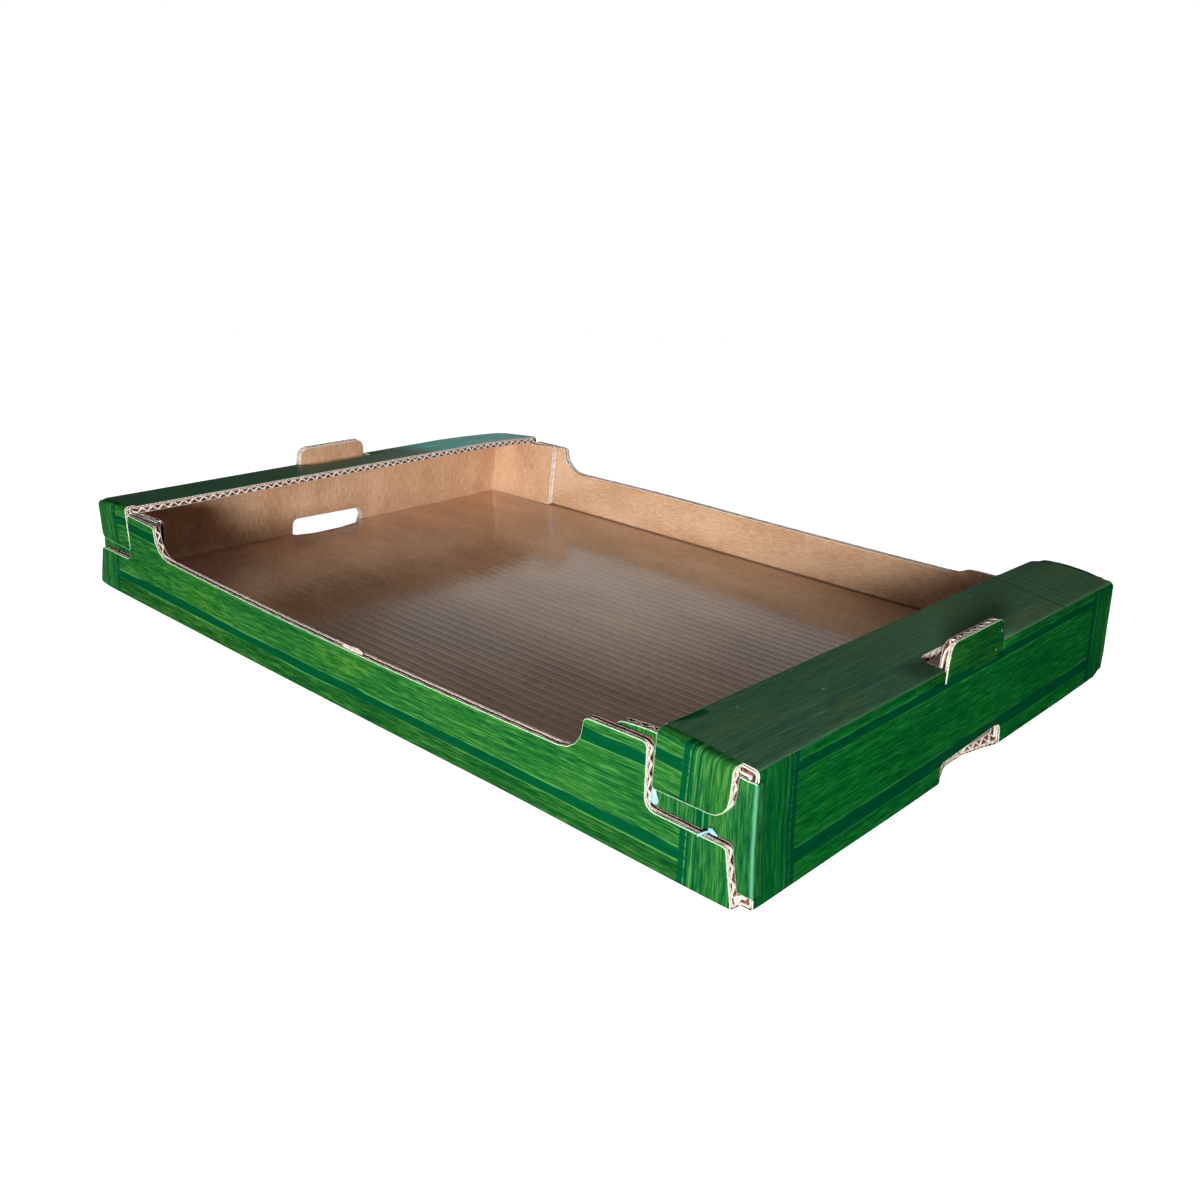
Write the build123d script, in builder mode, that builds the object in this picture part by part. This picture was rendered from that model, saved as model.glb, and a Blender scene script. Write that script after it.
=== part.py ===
"""Open tray box, folded and glued from one die-cut blank of double-wall corrugated board.

Millimetres. The origin is the centre of the underside, on the surface that the tray rests on.
+X runs along the tray, +Y across it and +Z up. Tabs and slots stand a little off the middle,
and the two slots are shifted from their tabs to opposite sides.
"""
import os
from collections import namedtuple

from build123d import *

# Board and its folds
board = 5.4  # double-wall thickness
fold_inner = 0.6  # inside radius of a crease
glue_line = 0.4  # film of glue between two panels
fold_margin = 0.5  # flat board between the cut end of a crease and the next fold

# Mouths of the thick flute where the board is cut across
flute_pitch = 7.8
flute_width = 5.2
flute_height = 2.3
flute_depth = 2.5
liner = 0.6
flute_margin = 4.0

# Whole tray
length = 600.0  # over the end walls
width = 404.0  # over the long walls
end_height = 65.5  # floor to shelf, at the end wall
shelf_depth = 52.0

# Long wall, with its setbacks taken from the end of the tray
low_height = 42.4
shoulder_height = 62.8
shoulder_setback = 96.5
shoulder_radius = 3.5
drop_straight = 0.5
recess_setback = 58.0
ledge_gap = 11.1  # between the shelf flap's free edge and the ledge under it
ledge_radius = 6.0
ledge_nose_radius = 3.0
wall_foot_setback = 6.5
wall_ledge_setback = 11.0

# Flap folded round the corner from the end wall, glued inside the long wall
side_flap_length = 82.0
side_flap_radius = 5.0

# Flap folded down from the shelf, glued outside the side flap
shelf_flap_setback = 10.0
shelf_flap_length = 43.0
shelf_flap_drop = 25.2  # from the top of the end wall to the flap's free edge
shelf_flap_radius = 8.0
shelf_flap_inner_radius = 2.0

# Stacking tab cut out of the shelf, and the slot for the tab of the tray below
tab_shift = 2.6  # from the middle, towards +Y at both ends
tab_width = 66.0
tab_taper = 2.0
tab_rise = 15.0  # above the shelf
tab_root = 7.2  # depth of its slits below the shelf
tab_radius = 8.0
slit = 0.8
opening_depth = 19.0
slot_width = 70.0
slot_shift = 3.8  # from the tab, to the right as each end is looked at from outside
slot_radius = 4.0

# Each end as it stands in use: the wall leans in, the shelf rides up on the side flaps,
# and the slot is larger at the left end
right_lean = 1.5
right_shelf_rise = 3.0
right_slot_height = 13.0
right_slot_foot = 1.0
right_slot_bow = 6.6
left_lean = 5.7
left_shelf_rise = 4.5
left_slot_height = 18.0
left_slot_foot = 9.5
left_slot_bow = 5.0

# Glue as flat strips between the panels
strip_height = 6.0
wall_strip_length = 48.0
wall_strip_setback = 18.0
wall_strip_lift = 5.0  # of the lower strip, over the fold along the floor
wall_strip_drop = 1.2  # of the upper strip, under the ledge
flap_strip_inset = 5.0
flap_strip_lift = 7.0

# Glue pressed out as beads at one corner
recess_bead_width = 4.0
recess_bead_length = 8.5
recess_bead_lift = 6.6
ledge_bead_width = 3.4
ledge_bead_length = 7.5
ledge_bead_lift = 1.8
ledge_bead_setback = 23.0
bead_height = 1.8
bead_rounding = 1.4

# Sizes that follow
half_length = length / 2
half_width = width / 2
fold_outer = board + fold_inner
flap_face = half_width - board - glue_line  # outer face of a side flap
crease_half = half_width - fold_outer - fold_margin  # half of an end crease
shoulder_end = half_length - shoulder_setback
recess_start = half_length - recess_setback
shelf_flap_bottom = end_height - shelf_flap_drop
ledge_height = shelf_flap_bottom - ledge_gap
reach = 40.0  # what a cutter or an untrimmed panel has to spare
End = namedtuple("End", "side lean rise slot_height slot_foot slot_bow")
right = End(1, right_lean, right_shelf_rise, right_slot_height, right_slot_foot, right_slot_bow)
left = End(-1, left_lean, left_shelf_rise, left_slot_height, left_slot_foot, left_slot_bow)
ends = (right, left)


def foot_corner(end):
    """Outer corner of floor and end wall before rounding. The wall is at full length above it."""
    return (end.side * (half_length + end.lean * fold_outer / (end_height - fold_outer)), 0)


def shelf_corner(end):
    """Outer corner of end wall and shelf before rounding."""
    return (end.side * (half_length - end.lean), end_height)


def shelf_edge(end):
    """Top of the shelf's free edge."""
    return (end.side * (half_length - end.lean - shelf_depth), end_height + end.rise)


def wall_up(end):
    """Direction from an end wall's foot to its shelf."""
    return Vector(shelf_corner(end)[0] - foot_corner(end)[0], 0, end_height)


def wall_out(end):
    """Direction out of an end wall."""
    up = wall_up(end)
    return Vector(end.side * up.Z, 0, -end.side * up.X)


def wall_face(end):
    """Outer face of an end wall, with local y up the wall."""
    return Plane(origin=(foot_corner(end)[0], 0, 0), x_dir=(0, end.side, 0), z_dir=wall_out(end))


def wall_section(end):
    """Plane square to an end wall's height, with local x out of the wall."""
    return Plane(origin=(foot_corner(end)[0], 0, 0), x_dir=wall_out(end), z_dir=wall_up(end))


def shelf_in(end):
    """Direction along a shelf, from the end wall to its free edge."""
    return Vector(-end.side * shelf_depth, 0, end.rise)


def shelf_section(end):
    """Plane square to a shelf's depth at the end wall, with local x out of its top face."""
    x, z = shelf_corner(end)
    x_dir = (end.side * end.rise, 0, shelf_depth)
    return Plane(origin=(x, 0, z), x_dir=x_dir, z_dir=shelf_in(end))


def cut_edge(end):
    """Shelf's cut edge, with local y from the top face down through the board."""
    x, z = shelf_edge(end)
    return Plane(origin=(x, 0, z), x_dir=(0, end.side, 0), z_dir=shelf_in(end))


# Floor, end walls and shelves, one strip folded four times
with BuildPart() as strip:
    with BuildSketch(Plane.XZ):
        with BuildLine():
            FilletPolyline(
                shelf_edge(right),
                shelf_corner(right),
                foot_corner(right),
                foot_corner(left),
                shelf_corner(left),
                shelf_edge(left),
                radius=fold_outer,
            )
            offset(amount=board, side=Side.RIGHT)
        make_face()
    extrude(amount=crease_half, both=True)
    # the ends of the walls make room for the folds of the side flaps
    with BuildSketch(Plane.XY.offset(fold_outer)):
        with GridLocations(length, 2 * flap_face, 2, 2):
            Rectangle(reach, 2 * fold_outer)
    extrude(amount=end_height - 2 * fold_outer, mode=Mode.SUBTRACT)

# Long walls, each with its fold along the floor
with BuildPart() as long_walls:
    with BuildSketch(Plane.YZ):
        for side in (1, -1):
            with BuildLine():
                FilletPolyline(
                    (side * (half_width - 2 * fold_outer), 0),
                    (side * half_width, 0),
                    (side * half_width, shoulder_height),
                    radius=fold_outer,
                )
                offset(amount=board, side=Side.LEFT if side > 0 else Side.RIGHT)
            make_face()
    extrude(amount=half_length, both=True)
    drop_radius = shoulder_height - low_height - shoulder_radius - drop_straight
    half_outline = [
        (half_length - wall_foot_setback, 0),
        (half_length - wall_ledge_setback, ledge_height),
        (recess_start, ledge_height),
        (recess_start, shoulder_height),
        (shoulder_end, shoulder_height),
        (shoulder_end, low_height),
    ]
    half_radii = [0, ledge_nose_radius, ledge_radius, shoulder_radius, shoulder_radius, drop_radius]
    with BuildSketch(Plane.XZ):
        with BuildLine():
            FilletPolyline(
                half_outline + [(-x, z) for x, z in reversed(half_outline)],
                radius=half_radii + half_radii[::-1],
                close=True,
            )
        make_face()
    extrude(amount=width, both=True, mode=Mode.INTERSECT)

# Side flaps, each with the fold that joins it to the end wall
with BuildPart() as side_flaps:
    for end in ends:
        with BuildSketch(wall_section(end)):
            for side in (1, -1):
                with BuildLine():
                    FilletPolyline(
                        (0, side * (flap_face - 2 * fold_outer)),
                        (0, side * flap_face),
                        (-side_flap_length - reach, side * flap_face),
                        radius=fold_outer,
                    )
                    offset(amount=board, side=Side.LEFT if side > 0 else Side.RIGHT)
                make_face()
        extrude(amount=end_height + reach)
    # the flaps clear the floor and the shelf by the inside radius of a fold
    with BuildSketch(Plane.XZ):
        for end in ends:
            top = end_height - fold_outer
            with BuildLine():
                FilletPolyline(
                    (end.side * (half_length - side_flap_length), fold_outer),
                    (end.side * (half_length + reach), fold_outer),
                    (end.side * (half_length + reach), top),
                    (shelf_corner(end)[0], top),
                    (shelf_edge(end)[0], top + end.rise),
                    (end.side * (half_length - side_flap_length), top + end.rise),
                    radius=[0, 0, 0, 0, 0, side_flap_radius],
                    close=True,
                )
            make_face()
    extrude(amount=width, both=True, mode=Mode.INTERSECT)

# Shelf flaps, each with the fold that joins it to the shelf
with BuildPart() as shelf_flaps:
    for end in ends:
        with BuildSketch(shelf_section(end)):
            for side in (1, -1):
                with BuildLine():
                    FilletPolyline(
                        (0, side * (half_width - 2 * fold_outer)),
                        (0, side * half_width),
                        (-end_height, side * half_width),
                        radius=fold_outer,
                    )
                    offset(amount=board, side=Side.LEFT if side > 0 else Side.RIGHT)
                make_face()
        extrude(amount=shelf_in(end).length)
    with BuildSketch(Plane.XZ):
        for end in ends:
            outer = half_length - shelf_flap_setback
            inner = outer - shelf_flap_length
            with BuildLine():
                FilletPolyline(
                    (end.side * outer, shelf_flap_bottom),
                    (end.side * outer, end_height + reach),
                    (end.side * inner, end_height + reach),
                    (end.side * inner, shelf_flap_bottom),
                    radius=[shelf_flap_radius, 0, 0, shelf_flap_inner_radius],
                    close=True,
                )
            make_face()
    extrude(amount=width, both=True, mode=Mode.INTERSECT)

# The folded blank, with its tabs, slots and cut edges
with BuildPart() as tray:
    add(strip.part)
    add(long_walls.part)
    add(side_flaps.part)
    add(shelf_flaps.part)
    for end in ends:
        # opening that the tab leaves in the shelf, with a slit down each of its sides
        low_side = tab_shift - tab_width / 2 - slit
        high_side = tab_shift + tab_width / 2 + slit
        with BuildSketch(Plane.XY.offset(end_height - tab_root)):
            with BuildLine():
                FilletPolyline(
                    (end.side * (half_length - opening_depth), low_side),
                    (end.side * (half_length - opening_depth), high_side),
                    (end.side * (half_length + reach), high_side),
                    (end.side * (half_length + reach), low_side),
                    radius=[tab_radius, tab_radius, 0, 0],
                    close=True,
                )
            make_face()
        extrude(amount=reach, mode=Mode.SUBTRACT)
        # the tab stands on in the plane of the end wall
        centre = end.side * tab_shift
        with BuildSketch(wall_face(end)):
            with BuildLine():
                FilletPolyline(
                    (centre - tab_width / 2, end_height - tab_root - board),
                    (centre - tab_width / 2 + tab_taper, end_height + tab_rise),
                    (centre + tab_width / 2 - tab_taper, end_height + tab_rise),
                    (centre + tab_width / 2, end_height - tab_root - board),
                    radius=[0, tab_radius, tab_radius, 0],
                    close=True,
                )
            make_face()
        extrude(amount=-board)
        # slot at the foot of the wall
        middle = tab_shift + end.side * slot_shift
        with BuildSketch(Plane.YZ.offset(end.side * (half_length - end.lean - 2 * board))):
            with BuildLine():
                FilletPolyline(
                    (middle - slot_width / 2, board),
                    (middle - slot_width / 2, end.slot_height),
                    (middle + slot_width / 2, end.slot_height),
                    (middle + slot_width / 2, board),
                    radius=[0, slot_radius, slot_radius, 0],
                    close=True,
                )
            make_face()
        extrude(amount=end.side * reach, mode=Mode.SUBTRACT)
        # its shallow bite out of the floor
        with BuildSketch(Plane.XY.offset(-board)):
            foot = end.side * (half_length - end.slot_foot)
            with BuildLine():
                start = (foot, middle - slot_width / 2)
                finish = (foot, middle + slot_width / 2)
                ThreePointArc(start, (foot - end.side * end.slot_bow, middle), finish)
                Polyline(
                    finish,
                    (end.side * (half_length + reach), middle + slot_width / 2),
                    (end.side * (half_length + reach), middle - slot_width / 2),
                    start,
                )
            make_face()
        extrude(amount=2 * board, mode=Mode.SUBTRACT)
    # flute mouths along the shelves' cut edges
    mouths = int(2 * (crease_half - flute_margin) // flute_pitch)
    inner_liner = board - liner
    for end in ends:
        with BuildSketch(cut_edge(end)):
            with GridLocations(flute_pitch, 0, mouths, 1):
                Polygon(
                    (-flute_width / 2, inner_liner),
                    (flute_width / 2, inner_liner),
                    (0, inner_liner - flute_height),
                    align=None,
                )
        extrude(amount=-flute_depth, mode=Mode.SUBTRACT)
tray.part.label = "tray"

# Glue between the panels, out of sight
with BuildPart() as glue_strips:
    for side in (1, -1):
        with BuildSketch(Plane.XZ.offset(side * flap_face)):
            for end in ends:
                low_strip = fold_outer + wall_strip_lift + strip_height / 2
                high_strip = ledge_height - wall_strip_drop - strip_height / 2
                for z in (low_strip, high_strip):
                    x = half_length - wall_strip_setback - wall_strip_length / 2
                    with Locations((end.side * x, z)):
                        Rectangle(wall_strip_length, strip_height)
                x = half_length - shelf_flap_setback - shelf_flap_length / 2
                z = shelf_flap_bottom + flap_strip_lift + strip_height / 2
                with Locations((end.side * x, z)):
                    Rectangle(shelf_flap_length - 2 * flap_strip_inset, strip_height)
        extrude(amount=side * glue_line)
glue_strips.part.label = "glue_strips"

# Beads pressed out at the front right corner, flat against the side flap
with BuildPart() as glue_beads:
    recess_width = half_length - shelf_flap_setback - shelf_flap_length - recess_start
    with BuildSketch(Plane.XZ.offset(flap_face)):
        with Locations((recess_start + recess_width / 2, ledge_height + recess_bead_lift)):
            SlotOverall(recess_bead_length, recess_bead_width, rotation=90)
        with Locations((half_length - ledge_bead_setback, ledge_height + ledge_bead_lift)):
            SlotOverall(ledge_bead_length, ledge_bead_width)
    extrude(amount=bead_height)
    fillet(glue_beads.faces().filter_by(Axis.Y).group_by(Axis.Y)[0].edges(), bead_rounding)
glue_beads.part.label = "glue_beads"

os.makedirs("parts", exist_ok=True)
export_step(tray.part, "parts/tray.step")
export_step(glue_strips.part, "parts/glue_strips.step")
export_step(glue_beads.part, "parts/glue_beads.step")
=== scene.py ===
"""Looks of the cardboard tray box: one printed sheet of double-wall board, folded and worn.

The sheet is drawn flat, in blank coordinates, and each of its points is folded to its place.
Lengths are millimetres in the tray's own frame until a mesh is made, and metres after that.
"""

import math
from collections import namedtuple

import bmesh
import bpy
import numpy as np
from mathutils import Matrix, Vector
from mathutils.geometry import area_tri, delaunay_2d_cdt, tessellate_polygon


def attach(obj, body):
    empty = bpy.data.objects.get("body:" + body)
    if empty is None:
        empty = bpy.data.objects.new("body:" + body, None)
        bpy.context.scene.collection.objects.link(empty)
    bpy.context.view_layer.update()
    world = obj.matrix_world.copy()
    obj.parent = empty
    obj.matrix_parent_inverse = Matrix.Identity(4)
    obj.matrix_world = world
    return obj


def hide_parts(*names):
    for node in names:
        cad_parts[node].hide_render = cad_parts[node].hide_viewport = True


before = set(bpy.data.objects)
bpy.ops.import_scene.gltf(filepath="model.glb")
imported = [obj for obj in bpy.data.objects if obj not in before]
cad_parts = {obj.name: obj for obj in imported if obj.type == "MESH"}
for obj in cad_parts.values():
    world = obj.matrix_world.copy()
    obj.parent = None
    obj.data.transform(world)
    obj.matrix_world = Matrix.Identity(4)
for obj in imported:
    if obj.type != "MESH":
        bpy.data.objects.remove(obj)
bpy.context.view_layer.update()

MM = 0.001

# Board
BOARD = 5.4
FOLD = 6.0  # a fold starts this far from the corner that it turns round
CREASE = 3.0  # radius left at the outside of a fold
FOOT_CREASE = 1.2  # the same along the floor and down the corners
QUARTER = FOLD * math.pi / 2
EDGE_SOFT = 0.45  # how far a cut edge is crushed back on each face
CORE_DEPTH = 1.2  # how far the flutes can be seen into
CORE_FACE = 0.46  # how far below each face the core starts
RIM_STEP = 0.8  # spacing of the points on a cut edge, where it crosses the flutes
RIM_STRIDE = 6.0  # the same where it runs along them
MITRE_LIMIT = 0.35  # keeps an offset outline from running far out at a sharp corner
ROUND_STEP = 0.35  # turn between the points of a rounded corner
REACH = 450.0  # grid lines run past the blank
FLUTE_PITCH = 7.8
THIN_PITCH = 3.2

# Tray
HALF_LENGTH = 300.0
HALF_WIDTH = 202.0
END_HEIGHT = 65.5
SHELF_DEPTH = 52.0
LOW_HEIGHT = 42.4
SHOULDER_HEIGHT = 62.8
SHOULDER_END = 203.5
RECESS_START = 242.0
LEDGE_HEIGHT = 29.2
LEDGE_END = 289.0
WALL_FOOT = 293.7
CREASE_HALF = 195.5  # half of an end crease
WALL_FOLD = 196.0  # where the folds of long walls and shelf flaps start
FLAP_FOLD = 190.2  # where the folds of side flaps start
FLAP_LENGTH = 82.0
SHELF_FLAP_OUT = 290.0
SHELF_FLAP_IN = 247.0
SHELF_FLAP_BOTTOM = 40.3
TAB_HALF = 33.0
TAB_TAPER = 2.0
TAB_ROOT = 58.3
TAB_LENGTH = 21.4
TAB_SHIFT = 2.6
TAB_ROUND = 7.8  # corner of the cut round a tab
SLIT = 0.8
OPENING_GAP = 1.3  # between a tab's end and the opening it was cut from, on the blank
TEAR = 0.3  # width of the cuts that let the corners fold

LEFT_RECESS_MORE = 2.6  # the left ends of the long walls' low middle are this much further out
LEFT_FLAP_MORE = 3.5  # the left shelf flaps are this much longer
LONG_PANEL_END = 298.0  # what is folded up with a long wall ends before this on the blank
PANEL_SLACK = 0.4  # the crushed edges of a panel still belong to it

End = namedtuple("End", "side lean rise drop tilt lift bend")
RIGHT = End(1, 1.5, 3.0, 0.0, 2.3, 1.0, 0.003)
LEFT = End(-1, 5.7, 4.5, 1.0, -0.5, 0.0, 0.016)
ENDS = (RIGHT, LEFT)

# Wear
Swell = namedtuple("Swell", "height middle width")
FRONT_BULGE = 5.4
BULGE_START = 3.0  # height at which the walls' bulges start
BACK_SWELLS = (Swell(3.0, -90, 80), Swell(-0.8, 120, 60))
BACK_SAG = 1.4
FOOT_HEIGHT = 30.0  # height at which the spread of the feet ends
FRONT_FOOT = 0.8  # spread of the front wall's foot on the right, half of that on the left
FRONT_FOOT_HOLLOWS = (Swell(-0.8, 150, 60),)
RIGHT_FOOT = 1.5
RIGHT_FOOT_SWELLS = (Swell(0.5, -60, 60),)
BEND_LINE = 124.0  # y of a slight bend across floor and shelves
FLOOR_BEND = 0.012  # slope of the floor behind it
FLOOR_BEND_SPAN = 72.0
SHELF_BEND_SPAN = 36.0  # the shelves' slope behind it doubles over this length
SHELF_DENT = 0.6
LEFT_SHOULDER_DROP = 1.5
RIGHT_SHOULDER_DROP = 2.6

# The back wall's right shoulder, creased outwards along a line that climbs to the end wall
EAR_FOOT = 37.4
EAR_CLIMB = (218, 247)
EAR_SLOPE = 0.85
EAR_RADIUS = 4.2
EAR_TURN = math.radians(150)
EAR_FACE = 203.5  # y of the wall's outer face
EAR_PRESSED = 6.9  # deeper than this, the side flap is pressed to the wall
EAR_START = (185, 203)

# Corners rounded by wear: where each would be sharp, its ways out and its radii
Blunt = namedtuple("Blunt", "tip ways radii")
BACK_RIGHT_TOP = Blunt((300.3, 202.1, 64.2), (1, 1, 1), (9.0, 9.0, 8.5))
SHELF_TIP = Blunt((246.6, 202.0, 65.9), (-1, 1, 1), (6.0, 6.0, 4.0))
FEET = (
    Blunt((301.6, 202.0, 0.9), (1, 1, -1), 6.0), Blunt((301.8, -203.2, 0.0), (1, -1, -1), 2.5),
    Blunt((-300.2, -203.6, 0.0), (-1, -1, -1), 4.0), Blunt((-300.2, 202.0, 0.9), (-1, 1, -1), 4.0),
)


# The path of the outer face from the middle of the floor to a shelf's free edge
Path = namedtuple("Path", "s1 s2 s3 s4 s5 wall_start wall_dir shelf_start shelf_dir arc2 angle1")


def end_path(end):
    """The path over one end of the tray, in its own x and z."""
    foot = HALF_LENGTH + end.lean * FOLD / (END_HEIGHT - FOLD)
    points = np.array([(0, 0), (foot, 0), (HALF_LENGTH - end.lean, END_HEIGHT),
                       (HALF_LENGTH - end.lean - SHELF_DEPTH, END_HEIGHT + end.rise)])
    steps = np.diff(points, axis=0)
    lengths = np.hypot(*steps.T)
    dirs = steps / lengths[:, None]
    angles = np.arctan2(dirs[:, 1], dirs[:, 0])
    turns = np.diff(angles)
    cuts = FOLD * np.tan(turns / 2)
    s1 = lengths[0] - cuts[0]
    s2 = s1 + FOLD * turns[0]
    s3 = s2 + lengths[1] - cuts[0] - cuts[1]
    s4 = s3 + FOLD * turns[1]
    s5 = s4 + lengths[2] - cuts[1]
    inward = np.array([-dirs[1][1], dirs[1][0]])
    arc2 = points[2] - dirs[1] * cuts[1] + FOLD * inward
    return Path(s1, s2, s3, s4, s5, points[1] + dirs[1] * cuts[0], dirs[1],
                points[2] + dirs[2] * cuts[1], dirs[2], arc2, angles[1])


PATHS = {end.side: end_path(end) for end in ENDS}


def wall_s(path, z):
    """Path length at a height on the straight line of an end wall."""
    return path.s2 + (z - path.wall_start[1]) / path.wall_dir[1]


def shelf_s(path, x):
    """Path length at an x on the straight line of a shelf."""
    return path.s4 + (x - path.shelf_start[0]) / path.shelf_dir[0]


def flap_s(path, z, inward):
    """Path length at which a side flap reaches a height, some way in from the end wall."""
    return wall_s(path, z - path.wall_dir[0] * inward)


def folded(distance):
    """Blank distance past a fold's start for a distance from the outer face it turns from."""
    return distance - FOLD + QUARTER


def side_v(distance):
    """Place on the blank, up a long wall or down a shelf flap."""
    return WALL_FOLD + folded(distance)


STRIP, LONG, SIDE, HANG, TAB = range(5)


def base(path, s, kind):
    """Point and direction of the path; flaps run straight on from what they hang on."""
    a1 = (s - path.s1) / FOLD
    a2 = path.angle1 + (s - path.s3) / FOLD
    wall = path.wall_start[:, None] + path.wall_dir[:, None] * (s - path.s2)
    shelf = path.shelf_start[:, None] + path.shelf_dir[:, None] * (s - path.s4)
    strip = kind == STRIP
    where = [(kind == LONG) | strip & (s < path.s1), strip & (s < path.s2),
             (kind == SIDE) | (kind == TAB) | strip & (s < path.s3), strip & (s < path.s4)]
    cos1, sin1, cos2, sin2 = np.cos(a1), np.sin(a1), np.cos(a2), np.sin(a2)
    values = [
        (s, path.s1 + FOLD * sin1, wall[0], path.arc2[0] + FOLD * sin2, shelf[0]),
        (0.0, FOLD - FOLD * cos1, wall[1], path.arc2[1] - FOLD * cos2, shelf[1]),
        (1.0, cos1, path.wall_dir[0], cos2, path.shelf_dir[0]),
        (0.0, sin1, path.wall_dir[1], sin2, path.shelf_dir[1]),
    ]
    return [np.select(where, cases, last) for *cases, last in values]


def sharpened(turn, whole, depth, crease):
    """How far a fold's surface stands out of a round one, at some part of its turn."""
    off = np.abs(turn - whole / 2)
    middle = (FOLD - crease) / np.cos(whole / 2)
    tip = middle * np.cos(off) + np.sqrt(np.maximum(crease ** 2 - (middle * np.sin(off)) ** 2, 0))
    straight = np.tan(whole / 2 - off) < (1 - crease / FOLD) * np.tan(whole / 2)
    reach = np.where(straight, FOLD / np.cos(whole / 2 - off), tip)
    return (reach - FOLD) * (1 - depth / BOARD)


def fold_points(u, v, depth, kind):
    """Places in the tray of points of the blank, at a depth below the printed face."""
    out = np.zeros((len(u), 3))
    for side in (1, -1):
        pick = (u >= 0) == (side > 0)
        path = PATHS[side]
        s, b, w, k = abs(u[pick]), abs(v[pick]), depth[pick], kind[pick]
        x, z, tx, tz = base(path, s, k)
        extra = 0
        for low, high, crease in ((path.s1, path.s2, FOOT_CREASE), (path.s3, path.s4, CREASE)):
            fold = (k == STRIP) & (s > low) & (s < high)
            extra = np.where(fold, sharpened((s - low) / FOLD, (high - low) / FOLD, w, crease), extra)
        start = np.select([(k == LONG) | (k == HANG), k == SIDE], [WALL_FOLD, FLAP_FOLD], 1e6)
        turn = np.clip((b - start) / FOLD, 0, math.pi / 2)
        past = np.maximum(b - start - QUARTER, 0)
        crease = np.where(k == HANG, CREASE, FOOT_CREASE)
        radius = FOLD - w + np.where(past > 0, 0, sharpened(turn, math.pi / 2, w, crease))
        y = np.where(b < start, b, start + radius * np.sin(turn))
        down = np.where(b < start, w - extra, FOLD - radius * np.cos(turn) + past)
        out[pick, 0] = side * (x - tz * down)
        out[pick, 1] = np.sign(v[pick]) * y
        out[pick, 2] = z + tx * down
    return settle(out, kind)


def smooth(x, low, high):
    """Goes smoothly from zero to one as x goes from low to high."""
    t = np.clip((x - low) / (high - low), 0, 1)
    return t * t * (3 - 2 * t)


def swelling(x, swells):
    return sum(s.height * np.exp(-((x - s.middle) / s.width) ** 2) for s in swells)


def dog_ear(x, y, z, kind):
    """Creases the back wall's right shoulder outwards."""
    crest = EAR_FOOT + EAR_SLOPE * (np.clip(x, *EAR_CLIMB) - EAR_CLIMB[0])
    past = np.maximum(z - crest, 0)
    turn = np.minimum(past / EAR_RADIUS, EAR_TURN)
    rest = past - EAR_RADIUS * turn
    radius = EAR_FACE - y
    radius = radius - 0.7 * np.maximum(radius - EAR_PRESSED, 0) * smooth(turn, 0, 1)
    picked = (y > 150) & (z > crest) & ((kind == LONG) | (kind == SIDE))
    amount = np.where(picked, smooth(x, *EAR_START), 0)
    out_y = EAR_FACE - radius * np.cos(turn) + rest * np.sin(turn)
    out_z = crest + radius * np.sin(turn) + rest * np.cos(turn)
    return y + (out_y - y) * amount, z + (out_z - z) * amount


def bulge_walls(x, y, z, long_wall):
    """Bulges the front wall, and waves the back wall and lets it sag."""
    height = np.clip((z - BULGE_START) / (LOW_HEIGHT - BULGE_START), 0, 1.3) ** 1.2
    span = np.where(abs(x) < RECESS_START, np.cos(math.pi * x / (2 * RECESS_START)), 0)
    out = np.where(y < 0, -FRONT_BULGE * span, swelling(x, BACK_SWELLS) * (span > 0))
    sag = BACK_SAG * smooth(z, 5, 42) * (1 - smooth(abs(x), 180, 203))
    z = z - np.where(long_wall & (y > 0), sag, 0)
    return y + np.where(long_wall, out * height, 0), z


def spread_feet(x, y, z):
    """Spreads the foot of the front wall and of the right wall, and bends the floor."""
    foot = 1 - smooth(z, 0, FOOT_HEIGHT)
    front = FRONT_FOOT * (2 - smooth(x, -100, 100)) + swelling(x, FRONT_FOOT_HOLLOWS)
    y = y - front * smooth(-y, 160, 200) * foot
    x = x + (RIGHT_FOOT + swelling(y, RIGHT_FOOT_SWELLS)) * smooth(x, 270, 298) * foot
    z = z + FLOOR_BEND * np.clip(y - BEND_LINE, 0, FLOOR_BEND_SPAN) * foot
    return x, y, z


def tilt_ends(x, y, z, long_wall):
    """Tilts, drops and bends each shelf with what carries it."""
    bent = np.maximum(y - BEND_LINE, 0)
    upper = smooth(z, 30, END_HEIGHT)
    for end in ENDS:
        near = smooth(end.side * x, 200, 240) * (~long_wall)
        bend = end.bend * bent * (1 + bent / SHELF_BEND_SPAN)
        lift = end.lift * (1 - smooth(end.side * x, 262, 296))
        z = z + near * upper * (-end.tilt * y / HALF_WIDTH - end.drop - bend + lift)
    return z


def press_edges(x, y, z, kind):
    """Dents the right shelf's free edge and lowers the back wall's shoulders."""
    dent = smooth(y, -193, -183) * (1 - smooth(y, -174, -166)) * (kind == STRIP)
    dent = dent * (1 - smooth(x, 246, 251)) * (x > 240) * (z > 55)
    z = z - SHELF_DENT * dent
    back_wall = (kind == LONG) & (y > 0)
    z = z - np.where(back_wall & (x < -200), LEFT_SHOULDER_DROP * smooth(z, 40, 60), 0)
    right = (back_wall | (kind == SIDE)) & (y > 150) & (x > 225)
    drop = RIGHT_SHOULDER_DROP * smooth(z, 46, 58) * (1 - smooth(x, 250, 262))
    return z - np.where(right, drop, 0)


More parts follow.
